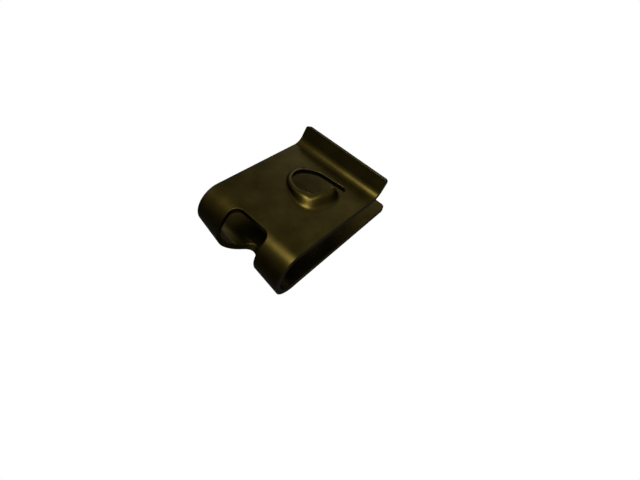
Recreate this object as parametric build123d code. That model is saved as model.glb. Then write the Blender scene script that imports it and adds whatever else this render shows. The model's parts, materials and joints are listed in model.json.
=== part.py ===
from build123d import *

import os
from math import cos, radians, sin, tan

# U-clip speed nut: one strip of spring steel, pierced, folded once round a
# panel edge, with a helical thread impression raised in the upper leaf and a
# turned-up lead-in lip at the mouth.
#
# Frame (mm): origin on the screw axis, in the plane of the underside.
# +X runs from the fold to the mouth, +Z is up through the upper leaf.

# ---- driving dimensions ------------------------------------------------
STRIP_WIDTH = 16.0          # across the clip, along Y
SHEET = 0.8                 # spring-steel thickness

SCREW_TO_FOLD = 14.4        # screw axis to the outermost point of the fold
SCREW_TO_MOUTH = 10.6       # screw axis to the free end of the lower leaf
SCREW_TO_LIP = 4.7          # screw axis to the start of the lip bend

FOLD_R_LOWER = 3.9          # outer radius of the lower quarter of the fold
FOLD_R_UPPER = 3.4          # outer radius of the upper quarter of the fold
LEAF_SLOPE = 3.7            # deg, the upper leaf closes toward the mouth
LIP_BEND_R = 1.7            # upper-side radius of the lip bend
LIP_ANGLE = 65.0            # deg, lip measured from the upper leaf
LIP_REACH = 1.9             # straight part of the lip
LIP_CORNER_R = 0.5          # blank corners at the end of the lip
MOUTH_CORNER_R = 0.8        # blank corners at the end of the lower leaf

NOTCH_HALF = 3.4            # half width of the relief notch through the fold
NOTCH_UPPER_REACH = 3.1     # outermost point of the fold to its end above
NOTCH_UPPER_R = 1.5         # corners of the end in the upper leaf
NOTCH_TAPER = 70.0          # deg, between the tapering sides below
NOTCH_TAPER_START = -1.6    # where they begin, along the lower quarter's chord
NOTCH_LOWER_R = 1.5         # rounded point where they meet

THREAD_HOLE_R = 3.05        # edge that engages the screw thread
THREAD_PITCH = 2.1          # rise of that edge in one full turn
THREAD_ZERO = 30.0          # deg round the axis from +X where the edge is level
RAISED_TIP_ANGLE = 283.0    # deg, free tip of the raised edge
WALL_JOINT = 165.0          # deg, where the two faces of the hole's wall meet

SLIT_WIDTH = 1.4            # slit that frees the tip, tangent to the hole
SLIT_LEAN = 5.5             # deg, the slit leans toward the mouth
SLIT_REACH = 3.7            # screw axis to the centre of its outer end

CLEARANCE_HOLE_R = 4.25     # screw clearance in the lower leaf

# Radial sections of the thread impression: angle round the axis (deg), width
# of the crest outside the hole, width of the flank outside the crest, and how
# far the section has sunk below the helix, as past the tip.
IMPRESSION = (
    (40.0, 0.35, 0.40, 0.0),
    (75.0, 0.35, 0.40, 0.0),
    (110.0, 0.35, 0.40, 0.0),
    (145.0, 0.35, 0.45, 0.0),
    (170.0, 0.40, 0.70, 0.0),
    (190.0, 0.45, 1.30, 0.0),
    (210.0, 0.45, 2.20, 0.0),
    (235.0, 0.35, 2.10, 0.0),
    (260.0, 0.25, 2.00, 0.0),
    (277.0, 0.25, 1.75, 0.02),
    (285.0, 0.25, 1.50, 0.20),
    (293.0, 0.25, 1.20, 0.85),
    (301.0, 0.25, 0.95, 1.58),
)

# ---- derived places ----------------------------------------------------
FOLD_X = -SCREW_TO_FOLD
SLOPE_SIN = sin(radians(LEAF_SLOPE))
SLOPE_COS = cos(radians(LEAF_SLOPE))
CROWN_X = FOLD_X + FOLD_R_UPPER
LEAF_TOP = FOLD_R_LOWER + (FOLD_R_UPPER + CROWN_X * SLOPE_SIN) / SLOPE_COS
INSIDE_HOLE = 0.6 * THREAD_HOLE_R
SLIT_OFFSET = THREAD_HOLE_R - SLIT_WIDTH / 2

# Through the axis of the fold's lower quarter, facing out through its middle;
# its x follows the quarter's chord from the front down to the underside.
LOWER_QUARTER_PLANE = Plane((FOLD_X + FOLD_R_LOWER, 0, FOLD_R_LOWER), x_dir=(1, 0, -1), z_dir=(-1, 0, -1))

# The top of the upper leaf, centred on the screw.
LEAF_PLANE = Plane((0, 0, LEAF_TOP), x_dir=(SLOPE_COS, 0, -SLOPE_SIN), z_dir=(SLOPE_SIN, 0, SLOPE_COS))


def folded_strip():
    """The bare strip: lower leaf, fold, upper leaf and lip as one extrusion."""
    with BuildPart() as strip:
        with BuildSketch(Plane.XZ):
            with BuildLine():
                lower = Line((SCREW_TO_MOUTH, 0), (FOLD_X + FOLD_R_LOWER, 0))
                front = JernArc(lower @ 1, lower % 1, FOLD_R_LOWER, -90)
                crown = JernArc(front @ 1, front % 1, FOLD_R_UPPER, -90 - LEAF_SLOPE)
                run = (SCREW_TO_LIP - (crown @ 1).X) / SLOPE_COS
                upper = Line(crown @ 1, crown @ 1 + (crown % 1) * run)
                bend = JernArc(upper @ 1, upper % 1, LIP_BEND_R, LIP_ANGLE)
                Line(bend @ 1, bend @ 1 + (bend % 1) * LIP_REACH)
                offset(amount=SHEET, side=Side.RIGHT)
            make_face()
        extrude(amount=STRIP_WIDTH / 2, both=True)
        round_blank_corners(strip)
    return strip.part


def round_blank_corners(strip):
    """Round the four free corners of the sheet, at the lip and at the mouth."""
    short = strip.edges().filter_by(lambda edge: abs(edge.length - SHEET) < 1e-6)
    lip = short.filter_by(lambda edge: edge.center().Z > LEAF_TOP)
    fillet(lip, LIP_CORNER_R)
    short = strip.edges().filter_by(lambda edge: abs(edge.length - SHEET) < 1e-6)
    mouth = short.filter_by(lambda edge: edge.center().Z < SHEET)
    fillet(mouth, MOUTH_CORNER_R)


def relief_notch():
    """Cutter for the notch: square-ended above, tapering to a point below."""
    past_front = FOLD_X - SHEET
    upper_end = FOLD_X + NOTCH_UPPER_REACH
    point = NOTCH_TAPER_START + NOTCH_HALF / tan(radians(NOTCH_TAPER / 2))
    with BuildPart() as cutter:
        with BuildSketch(Plane.XY.offset(FOLD_R_LOWER)):
            with Locations(((past_front + upper_end) / 2, 0)):
                Rectangle(upper_end - past_front, 2 * NOTCH_HALF)
            fillet(vertices().group_by(Axis.X)[-1], NOTCH_UPPER_R)
        extrude(amount=2 * FOLD_R_UPPER)
        with BuildSketch(LOWER_QUARTER_PLANE):
            Polygon(
                (-FOLD_R_LOWER, -NOTCH_HALF),
                (NOTCH_TAPER_START, -NOTCH_HALF),
                (point, 0),
                (NOTCH_TAPER_START, NOTCH_HALF),
                (-FOLD_R_LOWER, NOTCH_HALF),
                align=None,
            )
            fillet(vertices().group_by(Axis.X)[-1], NOTCH_LOWER_R)
        extrude(amount=2 * FOLD_R_LOWER)
    return cutter.part


def radial_plane(angle):
    """Plane through the screw axis: its x points outward, its y up."""
    return Plane((0, 0, 0), x_dir=(cos(radians(angle)), sin(radians(angle)), 0),
                 z_dir=(sin(radians(angle)), -cos(radians(angle)), 0))


def impression_section(angle, crest, flank, sunk):
    """The sheet cut by a radial plane: flank and crest at one angle."""
    height = THREAD_PITCH * (angle - THREAD_ZERO) / 360 - sunk
    crest_r = THREAD_HOLE_R + crest
    base_r = crest_r + flank
    level = ((-1, 0), (-1, 0))
    with BuildSketch(radial_plane(angle)) as section:
        with BuildLine():
            Line((base_r, -SHEET), (base_r, 0))
            Spline((base_r, 0), (crest_r, height), tangents=level)
            Polyline((crest_r, height), (INSIDE_HOLE, height), (INSIDE_HOLE, height - SHEET), (crest_r, height - SHEET))
            Spline((base_r, -SHEET), (crest_r, height - SHEET), tangents=level)
        make_face()
    return section.sketch


def level_sheet_under(impression):
    """The sector of the level leaf that the impression replaces.

    Its outer wall is grown from the impression's own base edge, so the two
    solids meet on one curve.
    """
    level = impression.edges().filter_by(lambda edge: abs((edge @ 0).Z) < 1e-6 and abs((edge @ 1).Z) < 1e-6)
    base = level.sort_by(SortBy.LENGTH)[-1]
    sector = make_face([base, Line(base @ 1, (0, 0, 0)), Line((0, 0, 0), base @ 0)])
    return extrude(sector, amount=-SHEET, dir=(0, 0, 1))


def thread_opening():
    """Cutter for the pierced hole and the slit that runs from its mouth side."""
    slit = Location((0, 0), SLIT_LEAN - 90)
    slit_end = (slit * Location((SLIT_REACH, SLIT_OFFSET))).position
    tip = THREAD_HOLE_R * Vector(cos(radians(RAISED_TIP_ANGLE)), sin(radians(RAISED_TIP_ANGLE)))
    with BuildPart() as cutter:
        with BuildSketch():
            with Locations(Location((0, 0), WALL_JOINT)):
                Circle(THREAD_HOLE_R)
            with Locations(slit):
                with Locations((SLIT_REACH / 2, SLIT_OFFSET)):
                    SlotCenterToCenter(SLIT_REACH, SLIT_WIDTH)
            Polygon((tip.X, tip.Y), (slit_end.X, slit_end.Y), (SLIT_OFFSET, 0), align=None)
        extrude(amount=2 * THREAD_PITCH, both=True)
    return cutter.part


def speed_nut():
    """The finished clip: strip, notch, thread impression and clearance hole."""
    impression = loft([impression_section(*row) for row in IMPRESSION])
    level_sheet = level_sheet_under(impression)
    nut = folded_strip() - relief_notch()
    nut -= LEAF_PLANE.location * level_sheet
    nut += LEAF_PLANE.location * impression
    nut = nut.cut(LEAF_PLANE.location * thread_opening())
    nut -= Cylinder(CLEARANCE_HOLE_R, 4 * SHEET)
    return nut


os.makedirs("parts", exist_ok=True)
export_step(speed_nut(), "parts/speed_nut.step")
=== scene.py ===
"""Looks of the U clip speed nut: one dark, satin spring-steel clip on white."""

import json
import logging
import math
from dataclasses import dataclass
from enum import Enum
from typing import Any

import bmesh
import bpy
from mathutils import Matrix, Vector

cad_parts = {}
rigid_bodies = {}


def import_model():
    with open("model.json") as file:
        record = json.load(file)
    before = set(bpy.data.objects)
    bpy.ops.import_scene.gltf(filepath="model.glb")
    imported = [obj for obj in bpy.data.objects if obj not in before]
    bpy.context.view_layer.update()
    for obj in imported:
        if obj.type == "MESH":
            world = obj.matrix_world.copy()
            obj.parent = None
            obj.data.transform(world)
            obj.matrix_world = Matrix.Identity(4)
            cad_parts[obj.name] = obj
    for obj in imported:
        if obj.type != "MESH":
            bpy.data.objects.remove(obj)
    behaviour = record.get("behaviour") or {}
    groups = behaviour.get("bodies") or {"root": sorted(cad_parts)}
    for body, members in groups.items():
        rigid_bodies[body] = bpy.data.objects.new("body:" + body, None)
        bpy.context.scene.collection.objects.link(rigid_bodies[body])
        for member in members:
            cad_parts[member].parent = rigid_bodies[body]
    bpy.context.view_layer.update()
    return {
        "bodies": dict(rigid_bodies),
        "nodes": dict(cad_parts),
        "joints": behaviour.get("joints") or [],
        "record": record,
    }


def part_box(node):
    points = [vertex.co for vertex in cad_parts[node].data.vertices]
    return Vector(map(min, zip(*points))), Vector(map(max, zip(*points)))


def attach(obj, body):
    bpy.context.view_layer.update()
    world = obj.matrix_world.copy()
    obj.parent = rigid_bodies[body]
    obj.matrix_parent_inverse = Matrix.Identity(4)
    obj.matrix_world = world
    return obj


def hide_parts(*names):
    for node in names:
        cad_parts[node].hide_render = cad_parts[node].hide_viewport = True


LOG = logging.getLogger("speed_nut")
MM = 0.001
NODE = "speed_nut"

SENSOR = 36.0
NEAREST_SEEN = 2.0 * MM
RAYS = 8

# Sockets of Blender's Mix node by number, since several share a name.
FLOAT_A, FLOAT_B, FLOAT_RESULT = 2, 3, 0
COLOUR_A, COLOUR_B, COLOUR_RESULT = 6, 7, 2

Colour = tuple[float, float, float, float]


class Slot(Enum):
    """The record's material slots."""

    STEEL = "dark_spring_steel"


# ---- finishes ----------------------------------------------------------


@dataclass(frozen=True)
class CoatedSteel:
    """Spring steel under a thin olive conversion coating.

    Attributes:
        shade: coating where it is thickest.
        tint: coating where it is thinnest.
        bare_and_sheen: metal worn bright along the edges, which also stands as a painted highlight along
            them.
        metallic: share of metal in the surface.
        roughness: lowest and highest roughness of the coating.
        edge_radius: rounding of the sheared edges, in metres.
        painted_shade: painted shade, the darker colour where the leaves close round the metal.
        painted_shade_reach: how near another surface brings on the painted shade, in metres.
        cloud_range: levels of the cloud that are all shade and all tint.
        pit_shade: share of the shade in a pit.
        pit_depth: depth of a pit, as a share of the grain's.
        sheen_and_wear_share: share of the bare colour, worn metal and painted highlight, on an edge.
        relief: strength of the grain and pits as bumps.
        relief_depth: their depth at full strength, in metres.
    """

    shade: Colour = (0.052, 0.038, 0.0075, 1.0)
    tint: Colour = (0.088, 0.066, 0.0145, 1.0)
    bare_and_sheen: Colour = (0.30, 0.24, 0.09, 1.0)
    metallic: float = 1.0
    roughness: tuple[float, float] = (0.27, 0.40)
    edge_radius: float = 0.11 * MM
    painted_shade: Colour = (0.006, 0.0048, 0.0015, 1.0)
    painted_shade_reach: float = 6.0 * MM
    cloud_range: tuple[float, float] = (0.35, 0.68)
    pit_shade: float = 0.35
    pit_depth: float = 0.6
    sheen_and_wear_share: float = 0.45
    relief: float = 0.10
    relief_depth: float = 0.02 * MM


@dataclass(frozen=True)
class Marks:
    """Sizes of the marks in the coating.

    Attributes:
        cloud_scale: cloudy patches to a metre.
        grain_scale: grains to a metre.
        pit_scale: pits to a metre.
        pit_rim: where a pit's floor ends and its rim lies, in steps between pits.
    """

    cloud_scale: float = 260.0
    grain_scale: float = 2600.0
    pit_scale: float = 420.0
    pit_rim: tuple[float, float] = (0.03, 0.09)


class Tree:
    """Short hand for building one node tree."""

    def __init__(self, tree: bpy.types.NodeTree) -> None:
        """Keep the tree.

        Args:
            tree: the node tree to build in.
        """
        self.tree = tree

    def node(self, kind: str, settings: dict[str, Any] | None = None, **inputs: Any) -> bpy.types.Node:
        """Add a node.

        Args:
            kind: the node's type name.
            settings: attributes of the node itself.
            **inputs: values or sockets by input name, with _ for a space.

        Returns:
            The new node.
        """
        made = self.tree.nodes.new(kind)
        for name, value in (settings or {}).items():
            setattr(made, name, value)
        for name, value in inputs.items():
            self.feed(made.inputs[name.replace("_", " ")], value)
        return made

    def feed(self, socket: bpy.types.NodeSocket, value: Any) -> None:
        """Link a socket to another, or give it a plain value.

        Args:
            socket: the input socket.
            value: an output socket or a value.
        """
        if isinstance(value, bpy.types.NodeSocket):
            self.tree.links.new(value, socket)
        else:
            socket.default_value = value

    def math(self, operation: str, a: Any, b: Any = 0.0, clamp: bool = False) -> bpy.types.NodeSocket:
        """Add a math node.

        Args:
            operation: the math operation's name.
            a: first value or socket.
            b: second value or socket.
            clamp: keep the result between 0 and 1.

        Returns:
            The result's socket.
        """
        made = self.node("ShaderNodeMath", {"operation": operation, "use_clamp": clamp})
        self.feed(made.inputs[0], a)
        self.feed(made.inputs[1], b)
        return made.outputs[0]

    def mix(self, factor: Any, a: Any, b: Any) -> bpy.types.NodeSocket:
        """Mix two colours.

        Args:
            factor: share of the second colour.
            a: first colour.
            b: second colour.

        Returns:
            The mixed colour's socket.
        """
        made = self.node("ShaderNodeMix", {"data_type": "RGBA"})
        self.feed(made.inputs["Factor"], factor)
        self.feed(made.inputs[COLOUR_A], a)
        self.feed(made.inputs[COLOUR_B], b)
        return made.outputs[COLOUR_RESULT]

    def remap(self, value: Any, low: tuple[str, float], high: tuple[str, float]) -> bpy.types.NodeSocket:
        """Stretch a value over another range.

        Args:
            value: value or socket to stretch.
            low: name and value of the range's lower end.
            high: name and value of its upper end.

        Returns:
            The stretched value's socket.
        """
        made = self.node("ShaderNodeMapRange", Value=value)
        for name, end in (low, high):
            made.inputs[name].default_value = end
        return made.outputs["Result"]


def edge_sheen_and_wear_group(gain: float = 4.0) -> bpy.types.NodeTree:
    """Build the group that rounds the sheared edges and says where they are, for worn metal and a painted
    edge highlight.

    Args:
        gain: how soon the mask is full as an edge turns.

    Returns:
        A group with Radius in, and Mask and Normal out.
    """
    group = bpy.data.node_groups.new("edge_sheen_and_wear", "ShaderNodeTree")
    group.interface.new_socket("Radius", in_out="INPUT", socket_type="NodeSocketFloat")
    group.interface.new_socket("Mask", in_out="OUTPUT", socket_type="NodeSocketFloat")
    group.interface.new_socket("Normal", in_out="OUTPUT", socket_type="NodeSocketVector")
    tree = Tree(group)
    entry = tree.node("NodeGroupInput")
    leave = tree.node("NodeGroupOutput")
    bevel = tree.node("ShaderNodeBevel", {"samples": RAYS}, Radius=entry.outputs["Radius"])
    flat = tree.node("ShaderNodeNewGeometry")
    turn = tree.node("ShaderNodeVectorMath", {"operation": "DOT_PRODUCT"})
    tree.feed(turn.inputs[0], bevel.outputs["Normal"])
    tree.feed(turn.inputs[1], flat.outputs["Normal"])
    away = tree.math("SUBTRACT", 1.0, turn.outputs["Value"])
    tree.feed(leave.inputs["Mask"], tree.math("MULTIPLY", away, gain, clamp=True))
    tree.feed(leave.inputs["Normal"], bevel.outputs["Normal"])
    return group


def rolled_grain_group(marks: Marks) -> bpy.types.NodeTree:
    """Build the group for the sheet's cloudy coating, fine grain and pits.

    Args:
        marks: sizes of the three.

    Returns:
        A group with Vector in, and Cloud, Grain and Pits out, each from 0 to 1.
    """
    group = bpy.data.node_groups.new("rolled_grain", "ShaderNodeTree")
    group.interface.new_socket("Vector", in_out="INPUT", socket_type="NodeSocketVector")
    for name in ("Cloud", "Grain", "Pits"):
        group.interface.new_socket(name, in_out="OUTPUT", socket_type="NodeSocketFloat")
    tree = Tree(group)
    place = tree.node("NodeGroupInput").outputs["Vector"]
    leave = tree.node("NodeGroupOutput")
    cloud = tree.node("ShaderNodeTexNoise", Vector=place, Scale=marks.cloud_scale, Detail=4.0, Roughness=0.6)
    grain = tree.node(
        "ShaderNodeTexNoise", Vector=place, Scale=marks.grain_scale, Detail=3.0, Roughness=0.65
    )
    speck = tree.node("ShaderNodeTexVoronoi", Vector=place, Scale=marks.pit_scale)
    floor_end, rim = marks.pit_rim
    clear = tree.remap(speck.outputs["Distance"], ("From Min", floor_end), ("From Max", rim))
    tree.feed(leave.inputs["Cloud"], cloud.outputs["Fac"])
    tree.feed(leave.inputs["Grain"], grain.outputs["Fac"])
    tree.feed(leave.inputs["Pits"], tree.math("SUBTRACT", 1.0, clear))
    return group


def painted_shade_group(closed: float = 0.45, clear: float = 0.85) -> bpy.types.NodeTree:
    """Build the group that finds where painted shade goes, such as between the leaves.

    Args:
        closed: share of open room at which metal counts as sheltered.
        clear: share of open room at which it counts as open.

    Returns:
        A group with Reach in and Open out, which is 1 on open metal.
    """
    group = bpy.data.node_groups.new("painted_shade_mask", "ShaderNodeTree")
    group.interface.new_socket("Reach", in_out="INPUT", socket_type="NodeSocketFloat")
    group.interface.new_socket("Open", in_out="OUTPUT", socket_type="NodeSocketFloat")
    tree = Tree(group)
    reach = tree.node("NodeGroupInput").outputs["Reach"]
    leave = tree.node("NodeGroupOutput")
    # Ambient occlusion says where the painted shade goes.
    around = tree.node("ShaderNodeAmbientOcclusion", {"samples": RAYS}, Distance=reach)
    room = tree.remap(around.outputs["AO"], ("From Min", closed), ("From Max", clear))
    tree.feed(leave.inputs["Open"], room)
    return group


def steel_material(finish: CoatedSteel, marks: Marks) -> bpy.types.Material:
    """Build the coated steel.

    Args:
        finish: the coating's colours and roughness.
        marks: sizes of the marks in it.

    Returns:
        The finished material.
    """
    material = bpy.data.materials.new("coated_spring_steel")
    material.use_nodes = True
    material.node_tree.nodes.clear()
    tree = Tree(material.node_tree)
    place = tree.node("ShaderNodeTexCoord").outputs["Object"]
    sheen_and_wear_edges = tree.node("ShaderNodeGroup", {"node_tree": edge_sheen_and_wear_group()}, Radius=finish.edge_radius)
    grain = tree.node("ShaderNodeGroup", {"node_tree": rolled_grain_group(marks)}, Vector=place)
    thick, thin = finish.cloud_range
    cloud = tree.remap(grain.outputs["Cloud"], ("From Min", thick), ("From Max", thin))
    coat = tree.mix(cloud, finish.shade, finish.tint)
    pitted = tree.mix(tree.math("MULTIPLY", grain.outputs["Pits"], finish.pit_shade), coat, finish.shade)
    # Worn metal and painted highlight: the sheared edges take the lighter bare colour.
    sheen_and_wear_share = tree.math("MULTIPLY", sheen_and_wear_edges.outputs["Mask"], finish.sheen_and_wear_share)
    sheened_and_worn = tree.mix(sheen_and_wear_share, pitted, finish.bare_and_sheen)
    # Painted shade: the colour darkens towards the oiled colour where the leaves close round the metal.
    painted_shade_mask = tree.node("ShaderNodeGroup", {"node_tree": painted_shade_group()}, Reach=finish.painted_shade_reach)
    colour = tree.mix(painted_shade_mask.outputs["Open"], finish.painted_shade, sheened_and_worn)
    smoothest, roughest = finish.roughness
    rough = tree.remap(grain.outputs["Grain"], ("To Min", smoothest), ("To Max", roughest))
    sunk = tree.math("MULTIPLY", grain.outputs["Pits"], finish.pit_depth)
    height = tree.math("SUBTRACT", grain.outputs["Grain"], sunk)
    bump = tree.node("ShaderNodeBump", Strength=finish.relief, Distance=finish.relief_depth, Height=height)
    tree.feed(bump.inputs["Normal"], sheen_and_wear_edges.outputs["Normal"])
    surface = tree.node("ShaderNodeBsdfPrincipled", Metallic=finish.metallic)
    tree.feed(surface.inputs["Base Color"], colour)
    tree.feed(surface.inputs["Roughness"], rough)
    tree.feed(surface.inputs["Normal"], bump.outputs["Normal"])
    tree.node("ShaderNodeOutputMaterial", Surface=surface.outputs["BSDF"])
    return material


# ---- the clip ----------------------------------------------------------


@dataclass(frozen=True)
class Leg:
    """One of the two legs of the fold, sprung outward along one long edge.

    Attributes:
        still_y: side of the leg that has kept its place, in metres.
        sprung_y: side of the leg that has moved out, in metres.
        out: how far that side has moved, in metres.
        fade: width beside the sprung side over which that dies out, in metres.
    """

    still_y: float
    sprung_y: float
    out: float
    fade: float = 3.2 * MM

    def share(self, y: float) -> float:
        """Say how much of the movement a place across the leg has.

        Args:
            y: place across the strip, in metres.

        Returns:
            0 at the still side, 1 at the sprung side, and less again beside it.
        """
        across = self.sprung_y - self.still_y
        part = (y - self.still_y) / across
        if part <= 1:
            return max(part, 0.0)
        return max(1 - (part - 1) * abs(across) / self.fade, 0.0)


@dataclass(frozen=True)
class Clip:
    """The clip as it has sprung after forming.

    Attributes:
        fold_radius: outer radius of the fold, in metres.
        lowest_angle: where the legs stand out most, in degrees below the fold's front.
        spread: how far round the fold that reaches each way, in degrees.
        legs: the two legs beside the relief notch.
        weld: distance within which the solid's corners are one, in metres.
        crease: sharpest bend that is shaded smooth, in degrees.
        level_weight: how far the large faces set the shading, from 1 to 100.
    """

    fold_radius: float = 3.9 * MM
    lowest_angle: float = 35.0
    spread: float = 80.0
    legs: tuple[Leg, Leg] = (
        Leg(still_y=8.0 * MM, sprung_y=3.0 * MM, out=0.90 * MM),
        Leg(still_y=-3.0 * MM, sprung_y=-8.0 * MM, out=0.60 * MM),
    )
    weld: float = 0.0005 * MM
    crease: float = 32.0
    level_weight: int = 80

    def moved(self, point: Vector, front_x: float) -> Vector:
        """Place one point of the sprung clip.

        Args:
            point: the point on the clip as drawn.
            front_x: the fold's front, in metres.

        Returns:
            The point on the sprung clip.
        """
        middle = Vector((front_x + self.fold_radius, point.y, self.fold_radius))
        outward = point - middle
        if outward.x > 0:
            return point.copy()
        below = math.degrees(math.atan2(-outward.z, -outward.x))
        reach = (below - self.lowest_angle) / self.spread
        if abs(reach) >= 1:
            return point.copy()
        swell = math.cos(math.pi / 2 * reach) ** 2
        out = sum(leg.out * leg.share(point.y) for leg in self.legs)
        return point + outward.normalized() * out * swell

    def build(self, frame: dict[str, Any]) -> bpy.types.Object:
        """Make the visible clip from the frame's solid.


        Returns:
            The new piece.
        """
        lowest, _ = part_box(NODE)
        mesh = frame["nodes"][NODE].data.copy()
        mesh.name = "clip_mesh"
        if "custom_normal" in mesh.attributes:
            mesh.attributes.remove(mesh.attributes["custom_normal"])
        work = bmesh.new()
        work.from_mesh(mesh)
        bmesh.ops.remove_doubles(work, verts=work.verts, dist=self.weld)
        for vert in work.verts:
            vert.co = self.moved(vert.co, lowest[0])
        crease = math.radians(self.crease)
        for edge in work.edges:
            edge.smooth = len(edge.link_faces) == 2 and edge.calc_face_angle(0.0) < crease
        for face in work.faces:
            face.smooth = True
        work.to_mesh(mesh)
        work.free()
        piece = bpy.data.objects.new("clip", mesh)
        bpy.context.scene.collection.objects.link(piece)
        level = piece.modifiers.new("level_normals", "WEIGHTED_NORMAL")
        level.keep_sharp = True
        level.weight = self.level_weight
        return piece


def dress(piece: bpy.types.Object, material: bpy.types.Material) -> None:
    """Give a piece its finish and its place in the frame.

    Args:
        piece: the visible piece.
        material: its finish.
    """
    piece.data.materials.clear()
    piece.data.materials.append(material)
    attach(piece, "root")
    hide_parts(NODE)
    LOG.info("%s: %d faces in %s", piece.name, len(piece.data.polygons), material.name)


# ---- stage -------------------------------------------------------------


@dataclass(frozen=True)
class Lamp:
    """A square soft light that points at the clip.

    Attributes:
        name: the light's name.
        place: where it stands, in metres.
        size: its side, in metres.
        power: its power, in watts.
        colour: its colour.
    """

    name: str
    place: Vector
    size: float
    power: float
    colour: tuple[float, float, float] = (1.0, 1.0, 1.0)

    def build(self) -> bpy.types.Object:
        """Make the light.

        Returns:
            The light's object.
        """
        data = bpy.data.lights.new(self.name, "AREA")
        data.size = self.size
        data.energy = self.power
        data.color = self.colour
        light = bpy.data.objects.new(self.name, data)
        light.location = self.place
        light.rotation_mode = "QUATERNION"
        light.rotation_quaternion = self.place.to_track_quat("Z", "Y")
        bpy.context.scene.collection.objects.link(light)
        return light


def build_world(zenith: float, horizon: float) -> None:
    """Make a white ground for the camera and a soft grey room for the metal.

    Args:
        zenith: brightness of the room overhead.
        horizon: brightness of the room at eye level and below.
    """
    world = bpy.data.worlds.new("white_room")
    bpy.context.scene.world = world
    world.use_nodes = True
    world.node_tree.nodes.clear()
    tree = Tree(world.node_tree)
    up = tree.node("ShaderNodeSeparateXYZ", Vector=tree.node("ShaderNodeTexCoord").outputs["Generated"])
    room = tree.node("ShaderNodeMapRange", {"interpolation_type": "SMOOTHSTEP"}, Value=up.outputs["Z"])
    room.inputs["To Min"].default_value = horizon
    room.inputs["To Max"].default_value = zenith
    seen = tree.node("ShaderNodeLightPath").outputs["Is Camera Ray"]
    strength = tree.node("ShaderNodeMix", {"data_type": "FLOAT"})
    tree.feed(strength.inputs["Factor"], seen)
    tree.feed(strength.inputs[FLOAT_A], room.outputs["Result"])
    strength.inputs[FLOAT_B].default_value = 1.0
    lit = strength.outputs[FLOAT_RESULT]
    white = tree.node("ShaderNodeBackground", Color=(1.0, 1.0, 1.0, 1.0), Strength=lit)
    tree.node("ShaderNodeOutputWorld", Surface=white.outputs["Background"])


@dataclass(frozen=True)
class View:
    """Where the camera stands.

    Attributes:
        aim: the point at the middle of the view, in metres.
        azimuth: degrees round the clip, 0 looking along +Y.
        elevation: degrees above the horizon.
        roll: degrees the camera leans.
        distance: metres from the aim.
        lens: focal length on the named sensor, in millimetres.
    """

    aim: Vector
    azimuth: float
    elevation: float
    roll: float
    distance: float
    lens: float

    def build(self) -> bpy.types.Object:
        """Make the camera.

        Returns:
            The camera's object.
        """
        turn = Matrix.Rotation(math.radians(self.azimuth), 4, "Z")
        tilt = Matrix.Rotation(math.radians(90.0 - self.elevation), 4, "X")
        lean = Matrix.Rotation(math.radians(self.roll), 4, "Z")
        away = Matrix.Translation((0.0, 0.0, self.distance))
        data = bpy.data.cameras.new("view")
        data.sensor_width = SENSOR
        data.lens = self.lens
        data.clip_start = NEAREST_SEEN
        camera = bpy.data.objects.new("view", data)
        camera.matrix_world = Matrix.Translation(self.aim) @ turn @ tilt @ lean @ away
        bpy.context.scene.collection.objects.link(camera)
        bpy.context.scene.camera = camera
        return camera


def build_stage() -> None:
    """Set the camera, the lights, the white ground and the plain colour view."""
    View(
        aim=Vector((-2.868, -5.438, 0.804)) * MM,
        azimuth=-58.81,
        elevation=51.53,
        roll=13.73,
        distance=60.55 * MM,
        lens=22.73,
    ).build()
    Lamp("overhead", Vector((-0.040, 0.005, 0.150)), 0.065, 0.120, (1.0, 0.98, 0.94)).build()
    Lamp("far_side", Vector((0.120, 0.060, 0.060)), 0.060, 0.012).build()
    build_world(zenith=0.30, horizon=0.05)
    bpy.context.scene.view_settings.view_transform = "Standard"


def main() -> None:
    """Build the clip and its stage."""
    logging.basicConfig(level=logging.INFO, format="%(name)s: %(message)s")
    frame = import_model()
    dress(Clip().build(frame), steel_material(CoatedSteel(), Marks()))
    build_stage()
    bpy.context.view_layer.update()


if __name__ == "__main__":
    main()
